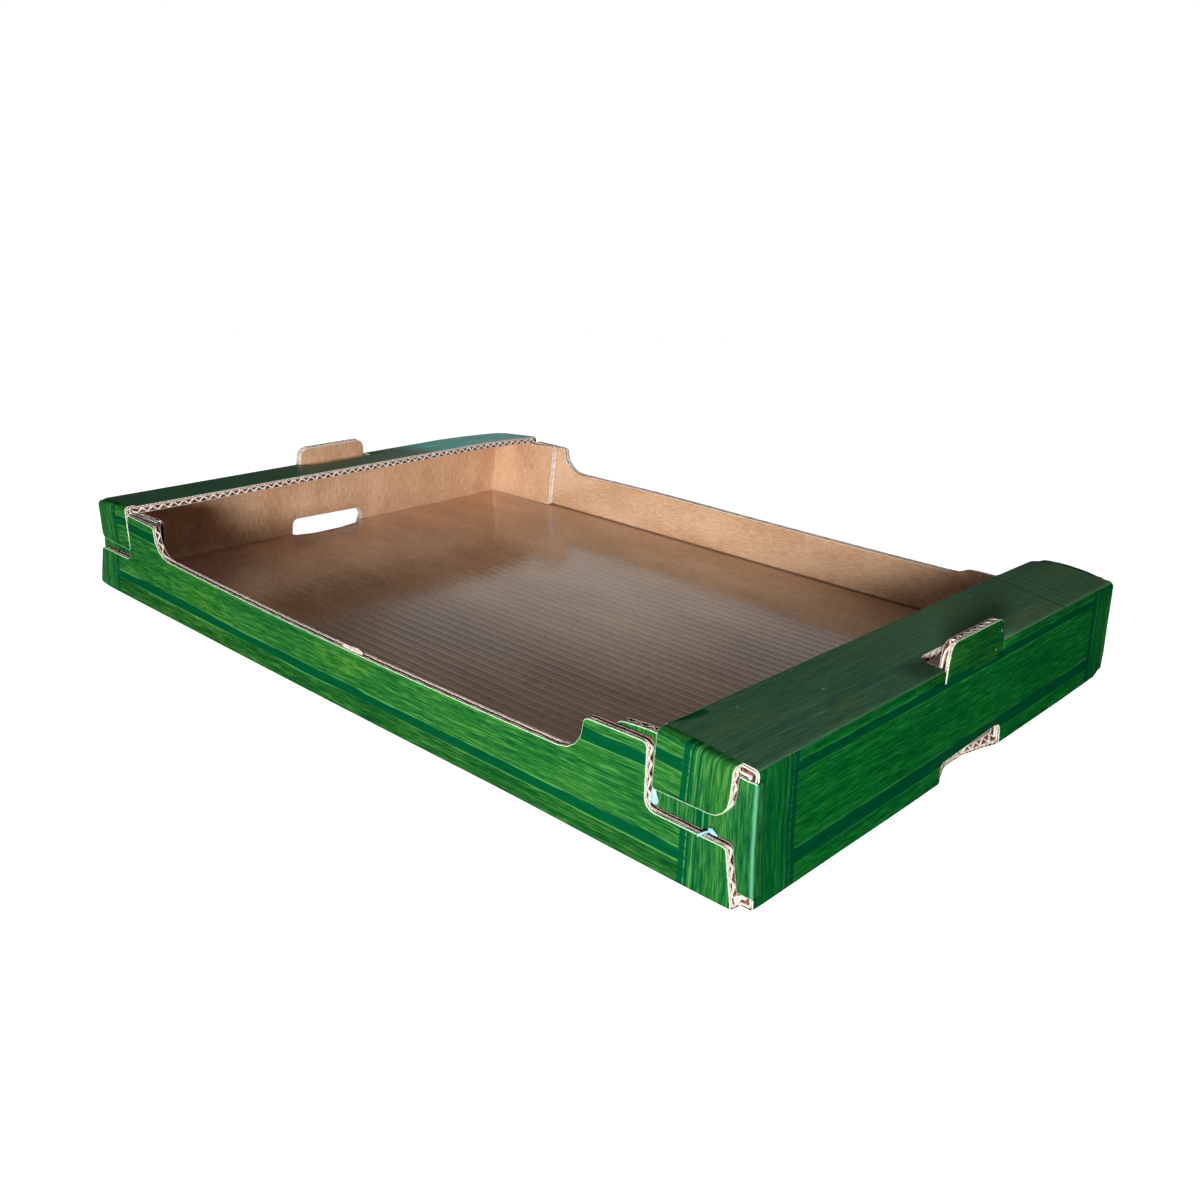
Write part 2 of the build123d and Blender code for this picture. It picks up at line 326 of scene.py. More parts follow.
def blunted(p, blunt):
    """Pulls the points round a corner of the tray in to an ellipsoid."""
    tip, ways, radii = map(np.array, blunt)
    centre = tip - ways * radii
    beyond = (p - centre) * ways
    length = np.linalg.norm(np.maximum(beyond, 0) / radii, axis=1)
    close = smooth(beyond[:, 0], -14, 1) * smooth(beyond[:, 1], -14, 1)
    shrink = 1 + (1 / np.maximum(length, 1) - 1) * close
    return centre + ways * np.where(beyond > 0, beyond * shrink[:, None], beyond)


def settle(p, kind):
    """The tray as it stands in use."""
    x, y, z = p.T
    long_wall = (kind == LONG)
    y, z = dog_ear(x, y, z, kind)
    y, z = bulge_walls(x, y, z, long_wall)
    x, y, z = spread_feet(x, y, z)
    z = tilt_ends(x, y, z, long_wall)
    z = press_edges(x, y, z, kind)
    p = blunted(np.stack([x, y, z], 1), BACK_RIGHT_TOP)
    shelf = (x > 200) & (z > 40) & ((kind == STRIP) | (kind == HANG))
    p[shelf] = blunted(p[shelf], SHELF_TIP)
    for foot in FEET:
        p = blunted(p, foot)
    return p


def rounded(corners):
    """Closed outline through corners, each with its radius."""
    out = []
    *points, radii = np.array(corners, float).T
    points = np.stack(points, 1)
    for p, before, after, radius in zip(points, np.roll(points, 1, 0), np.roll(points, -1, 0), radii):
        if radius == 0:
            out.append(p)
            continue
        a, b = before - p, after - p
        a /= np.linalg.norm(a)
        b /= np.linalg.norm(b)
        half = math.acos(np.clip(a @ b, -1, 1)) / 2
        centre = p + (a + b) / np.linalg.norm(a + b) * radius / math.sin(half)
        first = p + a * radius / math.tan(half) - centre
        last = p + b * radius / math.tan(half) - centre
        sweep = math.pi - 2 * half
        turns = max(3, int(sweep / ROUND_STEP))
        for k in range(turns + 1):
            t = k / turns
            q = (math.sin((1 - t) * sweep) * first + math.sin(t * sweep) * last) / math.sin(sweep)
            out.append(centre + q)
    return out


def corner(path):
    """A quarter of the blank's outline, from the long wall to the shelf."""
    right = path is PATHS[1]
    recess = RECESS_START + (0 if right else LEFT_RECESS_MORE)
    high = side_v(SHOULDER_HEIGHT)
    ledge = side_v(LEDGE_HEIGHT)
    foot = wall_s(path, FOLD)
    top = wall_s(path, END_HEIGHT - FOLD)
    rise = path.shelf_dir[1] * SHELF_DEPTH
    under_shelf = END_HEIGHT - FOLD + rise
    flap_end = FLAP_FOLD + folded(FLAP_LENGTH)
    hang_out = max(shelf_s(path, SHELF_FLAP_OUT), path.s4 + 1)
    hang_in = shelf_s(path, SHELF_FLAP_IN)
    drop = END_HEIGHT - SHELF_FLAP_BOTTOM + (0 if right else LEFT_FLAP_MORE)
    return [
        (SHOULDER_END, side_v(LOW_HEIGHT), 16.4), (SHOULDER_END, high, 3.5), (recess, high, 3.5),
        (recess, ledge, 6.0), (LEDGE_END, ledge, 3.0), (WALL_FOOT, WALL_FOLD, 0),
        (WALL_FOOT, CREASE_HALF, 0), (foot - TEAR, CREASE_HALF, 0), (foot - TEAR, FLAP_FOLD, 0),
        (foot, FLAP_FOLD, 0), (foot, FLAP_FOLD + QUARTER, 0),
        (flap_s(path, FOLD, FLAP_LENGTH), flap_end, 2.0),
        (flap_s(path, under_shelf, FLAP_LENGTH), flap_end, 5.0),
        (flap_s(path, under_shelf, SHELF_DEPTH), FLAP_FOLD + folded(SHELF_DEPTH), 0),
        (top, FLAP_FOLD + QUARTER, 0), (top, FLAP_FOLD, 0),
        (top + TEAR, FLAP_FOLD, 0), (top + TEAR, CREASE_HALF, 0), (hang_out, CREASE_HALF, 0),
        (hang_out, side_v(drop), 11.0 if right else 5.0), (hang_in, side_v(drop + rise), 2.0),
        (hang_in, CREASE_HALF, 0), (path.s5, CREASE_HALF, 0),
    ]


def outlines():
    """Outline of the blank and of its holes."""
    right, left = corner(PATHS[1]), corner(PATHS[-1])
    ring = right + [(u, -v, r) for u, v, r in right[::-1]]
    ring += [(-u, -v, r) for u, v, r in left] + [(-u, v, r) for u, v, r in left[::-1]]
    loops = [rounded(ring)]
    for side, path in PATHS.items():
        root = wall_s(path, TAB_ROOT)
        tip = root + TAB_LENGTH
        inner = tip + OPENING_GAP
        wide = TAB_HALF + SLIT
        narrow = TAB_HALF - TAB_TAPER
        opening = [(root, wide, 0), (inner, wide, 8), (inner, -wide, 8), (root, -wide, 0),
                   (root, -TAB_HALF, 0), (tip, -narrow, 7.5), (tip, narrow, 7.5),
                   (root, TAB_HALF, 0)]
        if side > 0:
            slot = [(299.4, -29.4, 0), (wall_s(path, 11.4), -29.0, 4), (wall_s(path, 13.2), 34.0, 1),
                    (wall_s(path, 12.4), 41.8, 4), (299.6, 42.0, 0), (296.5, 30.0, 12),
                    (292.4, 12.0, 14), (292.4, -8.0, 20)]
        else:
            slot = [(290.4, -36.6, 0), (wall_s(path, 18.2), -35.8, 4.5), (wall_s(path, 16.8), 30.5, 5),
                    (wall_s(path, 10.5), 34.4, 3), (290.4, 29.5, 0), (285.6, 6.0, 30),
                    (285.5, -22.0, 22)]
        for hole, shift in ((opening, TAB_SHIFT), (slot, 0)):
            loops.append(rounded([(side * u, v + shift, r) for u, v, r in hole]))
    return [np.array(loop) for loop in loops]


def mitres(before, at, after):
    """Ways to the left of an outline at its points, as long as an offset by one needs."""
    ways = np.array([at - before, after - at])
    ways /= np.linalg.norm(ways, axis=2)[:, :, None] + 1e-9
    first, second = np.stack([-ways[:, :, 1], ways[:, :, 0]], 2)
    both = first + second
    return both / np.maximum((both * first).sum(1), MITRE_LIMIT)[:, None]


def area(loop):
    """Area of a loop, positive where it runs anticlockwise."""
    x, y = loop.T
    return 0.5 * (x @ np.roll(y, -1) - y @ np.roll(x, -1))


# Where a fold is split, as shares of its turn
BENDS = np.array([0, 0.29, 0.37, 0.43, 0.465, 0.5, 0.535, 0.57, 0.63, 0.71, 1])


def grid_lines():
    """Lines that split the blank, finely at its folds."""
    us, vs = set(np.arange(-280, 281, 28.0)), set(np.arange(-180, 181, 30.0))
    for side, path in PATHS.items():
        fine = [*(path.s1 + (path.s2 - path.s1) * BENDS), *(path.s3 + (path.s4 - path.s3) * BENDS),
                *np.linspace(path.s2, path.s3, 7), *np.linspace(path.s4, path.s5, 8),
                path.s5 - 1.6, path.s5 - 3.2]
        us |= {side * s for s in fine}
        for start in (FLAP_FOLD, WALL_FOLD):
            vs |= {side * s for s in start + QUARTER * BENDS}
        vs |= {side * s for s in np.arange(210, 290, 8.0)}
    vs |= set(np.arange(-192, -162, 3.5)) | {BEND_LINE}
    # The shoulder that is creased outwards, and the side flap behind it
    us |= set(np.arange(185, 251, 6.0)) | {wall_s(PATHS[1], z) for z in np.arange(36, 58, 3.0)}
    vs |= set(np.arange(side_v(36), side_v(64), 2.8))
    return sorted(us), sorted(vs)


def kind_of(u, v):
    """Which panel a point of the blank belongs to."""
    path = PATHS[1 if u >= 0 else -1]
    s, b = abs(u), abs(v)
    root = wall_s(path, TAB_ROOT)
    if s < LONG_PANEL_END and b > WALL_FOLD - PANEL_SLACK:
        return LONG
    off_side = abs(v - TAB_SHIFT) - (TAB_HALF + SLIT / 2 - TAB_ROUND)
    off_tip = s - (root + TAB_LENGTH + OPENING_GAP / 2 - TAB_ROUND)
    if s > root and max(off_side, off_tip) < TAB_ROUND:
        if min(off_side, off_tip) < 0 or math.hypot(off_side, off_tip) < TAB_ROUND:
            return TAB
    low, high = wall_s(path, FOLD) - TEAR / 2, wall_s(path, END_HEIGHT - FOLD) + TEAR / 2
    on_wall = b > FLAP_FOLD and low < s < high or b > CREASE_HALF + 0.3 and s < path.s4
    if on_wall or b > CREASE_HALF + 40:
        return SIDE
    if b > CREASE_HALF and s > path.s4:
        return HANG
    return STRIP


def split_rim(bm):
    """Cuts the outline finely, so that flutes can be drawn along it."""
    for edge in [e for e in bm.edges if len(e.link_faces) == 1]:
        a, b = [vert.co.copy() for vert in edge.verts]
        count = math.ceil(max(abs(b.y - a.y) / RIM_STEP, abs(b.x - a.x) / RIM_STRIDE))
        current = edge.verts[0]
        for k in range(1, count):
            current = bmesh.utils.edge_split(edge, current, 1 / (count - k + 1))[1]
            current.co = a.lerp(b, k / count)


def inside(point, loops):
    """Whether a point lies within an odd number of loops."""
    crossings = 0
    for loop in loops:
        x, y = loop.T
        x2, y2 = np.roll(x, -1), np.roll(y, -1)
        spans = (y > point[1]) != (y2 > point[1])
        at = x[spans] + (point[1] - y[spans]) / (y2 - y)[spans] * (x2 - x)[spans]
        crossings += int((at > point[0]).sum())
    return crossings % 2 == 1


def flat_blank():
    """The blank as a flat mesh of near-rectangular cells, all facing the same way."""
    loops, points, edges = [], [], []
    for i, loop in enumerate(outlines()):
        if (area(loop) > 0) != (i == 0):
            loop = loop[::-1]
        loop = loop + mitres(np.roll(loop, 1, 0), loop, np.roll(loop, -1, 0)) * EDGE_SOFT
        first, count = len(points), len(loop)
        points += [Vector(p) for p in loop]
        edges += [(first + k, first + (k + 1) % count) for k in range(count)]
        loops.append(loop)
    across, up = [[-REACH, *lines, REACH] for lines in grid_lines()]
    lines = [((u, -REACH), (u, REACH)) for u in across] + [((-REACH, v), (REACH, v)) for v in up]
    for ends in lines:
        edges.append((len(points), len(points) + 1))
        points += [Vector(end) for end in ends]
    points, _, cells, *_ = delaunay_2d_cdt(points, edges, [], 3, 1e-4)
    bm = bmesh.new()
    verts = [bm.verts.new((*p, 0)) for p in points]
    for cell in cells:
        corners = [points[i].to_3d() for i in cell]
        pieces = [[corners[i] for i in triangle] for triangle in tessellate_polygon([corners])]
        largest = max(pieces, key=lambda t: area_tri(*t))
        if inside(sum(largest, Vector((0, 0, 0))) / 3, loops):
            bm.faces.new([verts[i] for i in cell])
    bmesh.ops.delete(bm, geom=[v for v in bm.verts if not v.link_faces], context="VERTS")
    spare = [v for v in bm.verts
             if len(v.link_edges) == 2 and all(len(e.link_faces) == 2 for e in v.link_edges)]
    bmesh.ops.dissolve_verts(bm, verts=spare)
    split_rim(bm)
    bm.normal_update()
    bmesh.ops.reverse_faces(bm, faces=[face for face in bm.faces if face.normal.z < 0])
    bm.verts.index_update()
    return bm


# Points of a cut edge from the printed face to the inner face: inset from the edge, and depth
PROFILE = [(0.12, 0.13), (0.0, 0.42), (0.06, CORE_FACE), (CORE_DEPTH, CORE_FACE),
           (CORE_DEPTH, BOARD - CORE_FACE), (0.06, BOARD - CORE_FACE), (0.0, BOARD - 0.42),
           (0.12, BOARD - 0.13)]
# The core is painted dark brown: painted shade in the hollows of the flutes
CORE_SHADE_RINGS = (3, 4, 5)  # steps of the profile that line the dark core
Sheet = namedtuple("Sheet", "centre amplitude pitch phase thickness")
# Thin flutes, middle liner and thick flutes, from the printed face inwards
SHEETS = (Sheet(1.05, 0.40, THIN_PITCH, 0.4, 0.32), Sheet(1.72, 0.0, 1.0, 0.0, 0.3),
          Sheet(3.42, 1.18, FLUTE_PITCH, 1.1, 0.88))


class Rim:
    """The blank's outline: its points, the ways out of the board, and where it is worn."""

    def __init__(self, bm, uv):
        follow = {}
        for face in bm.faces:
            for loop in face.loops:
                if len(loop.edge.link_faces) == 1:
                    follow[loop.vert.index] = loop.link_loop_next.vert.index
        self.points = np.array(sorted(follow))
        after = np.array([follow[i] for i in self.points])
        before = self.points[np.argsort(after)]
        self.next = np.searchsorted(self.points, after)
        self.uv = uv[self.points]
        self.out = -mitres(uv[before], self.uv, uv[after])
        edge = uv[after] - self.uv
        self.across = np.abs(edge[:, 1]) / np.linalg.norm(edge, axis=1)  # one across the flutes
        middle = (self.uv + uv[after]) / 2
        self.torn = [in_tear(*p) for p in middle]
        self.crushed = [is_crushed(*p) for p in middle]

    def inset(self, distance):
        """The outline's points, this far in from the cut edge."""
        return self.uv + self.out * np.reshape(EDGE_SOFT - distance, (-1, 1))


class Layers:
    """Points of the sheet, each with a depth and a panel, and its faces with their materials."""

    def __init__(self):
        self.flat, self.depths, self.kinds = [], [], []
        self.polys, self.mats = [], []
        self.count = 0

    def add(self, positions, depth, kinds):
        """Adds points and returns their numbers."""
        self.flat.append(positions)
        self.depths.append(np.full(len(positions), depth))
        self.kinds.append(kinds)
        self.count += len(positions)
        return np.arange(self.count - len(positions), self.count)

    def band(self, low, high, rim, material):
        """A row of faces between two rings of points round the rim."""
        for i, poly in enumerate(zip(low, low[rim.next], high[rim.next], high)):
            closed = rim.crushed[i] and material == "core"
            self.polys.append(poly)
            self.mats.append("print_end" if rim.torn[i] else "cut" if closed else material)


def add_ribbon(layers, rim, kinds, sheet):
    """One liner or row of flutes, seen end on in the cut edge."""
    u, v = rim.uv.T
    wave = 2 * math.pi * v / sheet.pitch + sheet.phase + 0.5 * np.sin(v / 19 + u / 31)
    slope = sheet.amplitude * 2 * math.pi / sheet.pitch * np.cos(wave) * rim.across
    half = sheet.thickness / 2 * np.sqrt(1 + slope ** 2)
    middle = sheet.centre + sheet.amplitude * np.sin(wave)
    ragged = 0.22 + 0.14 * np.sin(v * 0.9 + u * 0.7) + 0.08 * np.sin(v * 2.3 + 1)
    front, back = rim.inset(ragged), rim.inset(CORE_DEPTH)
    low, high = middle - half, middle + half
    corners = ((back, low), (front, low), (front, high), (back, high))
    rings = [layers.add(place, depth, kinds) for place, depth in corners]
    for first, second in zip(rings, rings[1:]):
        layers.band(first, second, rim, "cut")


def build_sheet():
    """Folds the blank and gives its faces their materials and places in the print."""
    bm = flat_blank()
    uv = np.array([v.co[:2] for v in bm.verts])
    kinds = np.array([kind_of(*p) for p in uv])
    cells = [[v.index for v in f.verts] for f in bm.faces]
    rim = Rim(bm, uv)
    bm.free()
    layers = Layers()
    layers.add(uv, 0.0, kinds)
    inner = layers.add(uv, BOARD, kinds)
    for cell in cells:
        u, v = uv[cell].mean(0)
        panel = LONG if (kinds[cell] == LONG).any() else kind_of(u, v)
        layers.polys += [cell[::-1], inner[cell]]
        layers.mats += [outer_material(u, v, panel), "kraft"]
    rim_kinds = kinds[rim.points]
    rings = [rim.points]
    rings += [layers.add(rim.inset(inset), depth, rim_kinds) for inset, depth in PROFILE]
    rings.append(inner[rim.points])
    for k, (low, high) in enumerate(zip(rings, rings[1:])):
        layers.band(low, high, rim, "lip" if k == 0 else "core" if k in CORE_SHADE_RINGS else "cut")
    for sheet in SHEETS:
        add_ribbon(layers, rim, rim_kinds, sheet)

    flat, depth, kind = map(np.concatenate, (layers.flat, layers.depths, layers.kinds))
    polys, mats = layers.polys, layers.mats
    place = fold_points(flat[:, 0], flat[:, 1], depth, kind)
    names = sorted(set(mats))
    faces = [list(map(int, p)) for p in polys]
    mesh = new_mesh("tray_sheet", (place * MM).tolist(), faces, *[MATERIALS[name] for name in names])
    mesh.polygons.foreach_set("material_index", [names.index(m) for m in mats])
    put_places(mesh, flat, kind, polys, mats)
    mesh.shade_smooth()
    mesh.set_sharp_from_angle(angle=math.radians(32))
    mesh.update()
    piece = new_object("tray_sheet", mesh)
    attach(piece, "root")
    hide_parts("tray")


def in_tear(u, v):
    """Whether the print closes over a cut: beside side flaps' folds, and behind the right tab."""
    path = PATHS[1 if u >= 0 else -1]
    top, foot = wall_s(path, END_HEIGHT - FOLD), wall_s(path, FOLD)
    slit = u > 0 and wall_s(path, TAB_ROOT) - 0.6 < u < path.s4 and 35.2 < v < 37.2
    at_fold = top - 0.8 < abs(u) < top + TEAR + 0.8 or foot - TEAR - 0.8 < abs(u) < foot + 0.8
    return slit or at_fold and FLAP_FOLD - 0.6 < abs(v) < CREASE_HALF - 0.6


def is_crushed(u, v):
    """Whether a cut edge is flattened: on a left flap and twice in front."""
    left_flap = -290 > u and v > FLAP_FOLD + QUARTER + 60
    front = v < -WALL_FOLD and (8 < u < 27 or -93.5 < u < -91) and v > -245
    return left_flap or front


def outer_material(u, v, kind):
    """Which part of the print a printed face carries."""
    path = PATHS[1 if u >= 0 else -1]
    s = abs(u)
    if kind == LONG:
        return "print_long" if abs(v) > WALL_FOLD + 0.3 * QUARTER else "kraft"
    if kind == SIDE:
        return "print_flap"
    if kind == HANG or abs(v) > WALL_FOLD and s > path.s4:
        return "print_long"
    if kind == TAB:
        return "print_tab"
    if s > path.s3 + 4.5:
        return "print_shelf" if u > 0 else "print_shelf_far"
    if s > path.s1 + 2:
        return "print_end"
    return "kraft"


def put_places(mesh, flat, kind, polys, mats):
    """Stores each corner's place in the print: along the panel and up it, in metres, and its panel.

    The panel is 1 or -1 on the back and front wall, 0 or 2 and -4 or -2 on the back and front half
    of the right and left end wall, 5 or -5 on the right and left shelf, and 7 on bare board.
    """
    values = []
    for poly, material in zip(polys, mats):
        index = np.array(poly)
        u, v = flat[index].T
        side = 1 if u.mean() >= 0 else -1
        path = PATHS[side]
        s = abs(u)
        same = 0 * u
        if material == "print_long" and kind[index[0]] != HANG:
            a, b, c = u, abs(v) - folded(WALL_FOLD), np.sign(v)
        elif material == "print_long":
            a = side * (path.shelf_start[0] + path.shelf_dir[0] * (s - path.s4))
            b, c = END_HEIGHT - (abs(v) - folded(WALL_FOLD)), np.sign(v)
        elif material in ("print_end", "print_tab", "print_flap"):
            b = (s - path.s2) * path.wall_dir[1] + path.wall_start[1]
            a, c = v, (1 if side > 0 else -3) - np.sign(v.mean()) + same
        elif "shelf" in material:
            a, b, c = v, s - path.s3, side * 5 + same
        else:
            a, b, c = u, v, 7 + same
        values.append(np.stack([a * MM, b * MM, c], 1))
    store_places(mesh, np.concatenate(values))


def store_places(mesh, places):
    layer = mesh.attributes.new("place", "FLOAT_VECTOR", "CORNER")
    layer.data.foreach_set("vector", np.ravel(places))


# Materials. Lengths in the print are metres.
LINE_SOFT = 0.0004  # soft edge of a printed joint
FINE_SOFT = 0.0002  # the same of the light lines beside it
FLUTE_TURNS = 2 * math.pi / (FLUTE_PITCH * MM)  # radians in a metre across the flutes
WHITE = (1, 1, 1)
WARM = (1.0, 0.98, 0.95)
POST_TINT = (0.80, 0.92, 1.18)
PATCH_TINT = (1.22, 1.0, 0.78)


class Shade:
    """A material and short names for its nodes."""

    def __init__(self, name):
        self.material = bpy.data.materials.new(name)
        self.material.use_nodes = True
        self.tree = self.material.node_tree
        self.shader = self.tree.nodes["Principled BSDF"]

    def node(self, kind, inputs=(), output=0, **settings):
        node = self.tree.nodes.new("ShaderNode" + kind)
        for key, value in settings.items():
            setattr(node, key, value)
        for key, value in dict(inputs).items():
            self.put(node.inputs[key], value)
        return node.outputs[output]

    def put(self, socket, value):
        if isinstance(value, bpy.types.NodeSocket):
            self.tree.links.new(value, socket)
        elif isinstance(value, tuple) and socket.type == "RGBA":
            socket.default_value = (*value, 1)
        else:
            socket.default_value = value

    def math(self, operation, a, b=0.0, c=0.0):
        return self.node("Math", {0: a, 1: b, 2: c}, operation=operation)

    def times(self, a, b):
        return self.math("MULTIPLY", a, b)

    def plus(self, a, b, c):
        """a times b plus c."""
        return self.math("MULTIPLY_ADD", a, b, c)

    def set(self, name, value):
        self.put(self.shader.inputs[name], value)

    def step(self, value, low, high, start=0.0, end=1.0):
        """Goes smoothly from start to end as the value goes from low to high."""
        inputs = {"Value": value, "From Min": low, "From Max": high, "To Min": start, "To Max": end}
        return self.node("MapRange", inputs, interpolation_type="SMOOTHSTEP")

    def band(self, value, low, high, soft):
        """One between low and high, and zero outside."""
        inside = self.step(value, low - soft, low + soft)
        return self.times(inside, self.step(value, high - soft, high + soft, 1.0, 0.0))

    def highest(self, masks):
        best = masks[0]
        for mask in masks[1:]:
            best = self.math("MAXIMUM", best, mask)
        return best

    def blend(self, factor, a, b):
        return self.node("Mix", {0: factor, 2: a, 3: b})

    def noise(self, vector, detail=4.0, rough=0.55):
        inputs = {"Vector": vector, "Scale": 1.0, "Detail": detail, "Roughness": rough}
        return self.node("TexNoise", inputs)

    def scaled(self, vector, scale):
        return self.node("VectorMath", {0: vector, 1: scale}, operation="MULTIPLY")

    def mix(self, factor, a, b, blend="MIX"):
        inputs = {0: factor, 6: a, 7: b}
        return self.node("Mix", inputs, 2, data_type="RGBA", blend_type=blend)

    def place(self):
        return self.node("Attribute", output=1, attribute_name="place")

    def split(self, vector):
        return self.node("SeparateXYZ", {0: vector}, slice(3))


def srgb(*levels):
    """Linear colour of an 8-bit one."""
    return tuple(c / 255 / 12.92 if c <= 10 else ((c / 255 + 0.055) / 1.055) ** 2.4 for c in levels)


def grain_noises(m, standing):
    """Strokes, bands and patches of the printed grain, along the planks or up the posts."""
    noises = []
    for long, short, detail, rough in ((75, 1150, 3, 0.65), (18, 400, 2, 0.5), (11, 45, 2, 0.5)):
        scale = (short, long, 3) if standing else (long, short, 3)
        noises.append(m.noise(m.scaled(m.place(), scale), detail, rough))
    return noises


def joint_masks(m, height, span, bands, posts, stripe):
    """Masks of the dark joints and of the light lines beside them."""
    dark = [m.band(height, low, high, LINE_SOFT) for low, high in bands]
    light = [m.band(height, start, start + 0.0006, FINE_SOFT)
             for low, high in bands for start in (high + 0.0002, low - 0.0008)]
    if posts:
        beside = m.step(span, posts - 0.0062, posts - 0.0054, 1.0, 0.0)
        dark, light = ([m.times(mask, beside) for mask in masks] for masks in (dark, light))
        dark += [m.band(span, posts - 0.0058, posts - 0.0002, 0.0003),
                 m.band(span, posts + 0.0030, posts + 0.0040, 0.0003)]
        light += [m.band(span, posts - 0.0024, posts - 0.0018, FINE_SOFT),
                  m.band(span, posts + 0.0008, posts + 0.0018, FINE_SOFT)]
    if stripe:
        dark.append(m.band(span, *stripe, LINE_SOFT))
        light.append(m.band(span, stripe[0] + 0.0026, stripe[0] + 0.0034, FINE_SOFT))
    return dark, light


def print_material(name, tones, bands=(), posts=None, upright=False, stripe=None, rough=0.6,
                   shine=0.0, foot_tone=1.0):
    """Printed planks: streaks of grain along the panel, dark joints between planks, and posts.

    tones are dark, middle and bright grain and the joints; bands are the joints' heights; posts is
    how far from the middle they start; foot_tone darkens what is below the lowest joint.
    """
    m = Shade(name)
    x, y, _ = m.split(m.place())
    span = m.math("ABSOLUTE", x)
    streaks = grain_noises(m, upright)
    if posts:
        standing = m.step(span, posts - LINE_SOFT, posts + LINE_SOFT)
        streaks = [m.blend(standing, a, b) for a, b in zip(streaks, grain_noises(m, True))]
    fine, broad, patch = streaks
    grain = m.plus(broad, 0.27, m.times(patch, 0.13))
    grain = m.plus(fine, 0.6, grain)
    dark, middle, bright, joint = tones
    colour = m.mix(m.step(grain, 0.41, 0.5), dark, middle)
    colour = m.mix(m.step(grain, 0.5, 0.6), colour, bright)
    colour = m.mix(1.0, colour, m.mix(m.step(patch, 0.5, 0.68), WHITE, PATCH_TINT), "MULTIPLY")
    if upright or posts:
        tint = m.mix(standing if posts else 1.0, WHITE, POST_TINT)
        colour = m.mix(1.0, colour, tint, "MULTIPLY")
    wobble = m.plus(m.math("SUBTRACT", broad, 0.5), 0.003, y)
    wobble = m.plus(m.math("SUBTRACT", fine, 0.5), 0.0012, wobble)
    if foot_tone < 1:
        lower = m.step(wobble, bands[0][0] - 0.001, bands[0][0], foot_tone, 1.0)
        colour = m.mix(1.0, colour, m.blend(standing, lower, 1.0), "MULTIPLY")
    shadows, lights = joint_masks(m, wobble, span, bands, posts, stripe)
    if shadows:
        deep = m.mix(m.step(grain, 0.42, 0.58), joint, tuple(1.35 * c + 0.0006 for c in joint))
        colour = m.mix(m.highest(shadows), colour, deep)
        faint = m.times(m.highest(lights), m.step(broad, 0.4, 0.6, 0.15, 0.75))
        colour = m.mix(faint, colour, tuple(1.25 * c + 0.02 for c in bright))
    m.set("Base Color", colour)
    m.set("Roughness", m.step(grain, 0.3, 0.7, rough + 0.04, rough - 0.04))
    m.set("Specular IOR Level", shine)
    return m


def add_marks(m, colour, masks):
    """Lays thin marks over a material's colour."""
    socket = m.shader.inputs["Base Color"]
    under = socket.links[0].from_socket
    for mask in masks:
        under = m.mix(mask, under, colour)
    m.put(socket, under)


def speck_masks(m, specks):
    """Round spots: where each lies in the print, and its radius."""
    masks = []
    for *centre, radius in specks:
        away = m.node("VectorMath", {0: m.place(), 1: (*centre, 0)}, operation="SUBTRACT")
        flat = m.scaled(away, (1, 1, 0))
        length = m.node("VectorMath", {0: flat}, 1, operation="LENGTH")
        masks.append(m.step(length, 0.5 * radius, radius, 1.0, 0.0))
    return masks


def mark_tab(m):
    """The right tab's worn right edge and a few white specks."""
    x, y, z = m.split(m.place())
    right_end = m.step(z, -1.0, -0.9)
    aslant = m.plus(m.math("SUBTRACT", y, TAB_ROOT * MM), 0.0935, x)
    worn = m.band(aslant, 0.0349, 0.0357, 0.0004)
    line = m.times(worn, m.step(y, 0.0560, 0.0590))
    specks = [(0.0305, 0.0725, 0.001), (0.0255, 0.0625, 0.0008), (-0.0285, 0.072, 0.0011)]
    masks = [m.times(mark, right_end) for mark in (line, *speck_masks(m, specks))]
    add_marks(m, (0.24, 0.50, 0.32), masks)


def mark_shelf(m):
    """The right shelf's back part lighter (painted light), its washboard and crease as dark lines
    (painted shade), bruised edge and specks.
    """
    x, y, _ = m.split(m.place())
    # Painted light: the back part of the shelf mixed lighter and greyer
    add_marks(m, (0.16, 0.29, 0.17), [m.step(x, -0.09, 0.03, 0.0, 0.28)])
    # Painted shade: dark lines where the washboard's ripples would fall into shade
    ripple_shade = m.step(m.math("SINE", m.times(x, FLUTE_TURNS)), 0.55, 1.0)
    ripple_shade = m.times(ripple_shade, m.band(x, 0.085, 0.185, 0.015))
    add_marks(m, (0.02, 0.06, 0.035), [m.times(ripple_shade, 0.3)])
    # Painted shade: a dark line along the crease
    crease = m.band(m.plus(y, -0.17, x), 0.1176, 0.1186, 0.0004)
    add_marks(m, (0.006, 0.030, 0.012), [m.times(crease, 0.85)])
    aslant = m.plus(x, 0.35, y)
    bruise = m.times(m.band(x, -0.194, -0.170, 0.0008), m.step(aslant, -0.0130, -0.0122))
    bruise = m.times(bruise, m.step(y, 0.0495, 0.0503))
    add_marks(m, (0.004, 0.115, 0.040), [bruise])
    specks = [(-0.105, 0.031, 0.0009), (-0.156, 0.045, 0.0007), (0.08, 0.048, 0.0008)]
    add_marks(m, (0.30, 0.58, 0.38), speck_masks(m, specks))


def paint_far_shelf_sheen(m):
    """Painted sheen: the left shelf's back part, mixed towards light teal."""
    x, _, _ = m.split(m.place())
    broad = m.noise(m.scaled(m.place(), (30, 90, 3)), 3, 0.6)
    # Painted sheen: light teal over the back part, where the shelf would mirror the bright surround
    teal_sheen = m.times(m.step(x, 0.060, 0.095), m.step(broad, 0.35, 0.65, 0.75, 1.0))
    add_marks(m, (0.05, 0.92, 0.80), [teal_sheen])


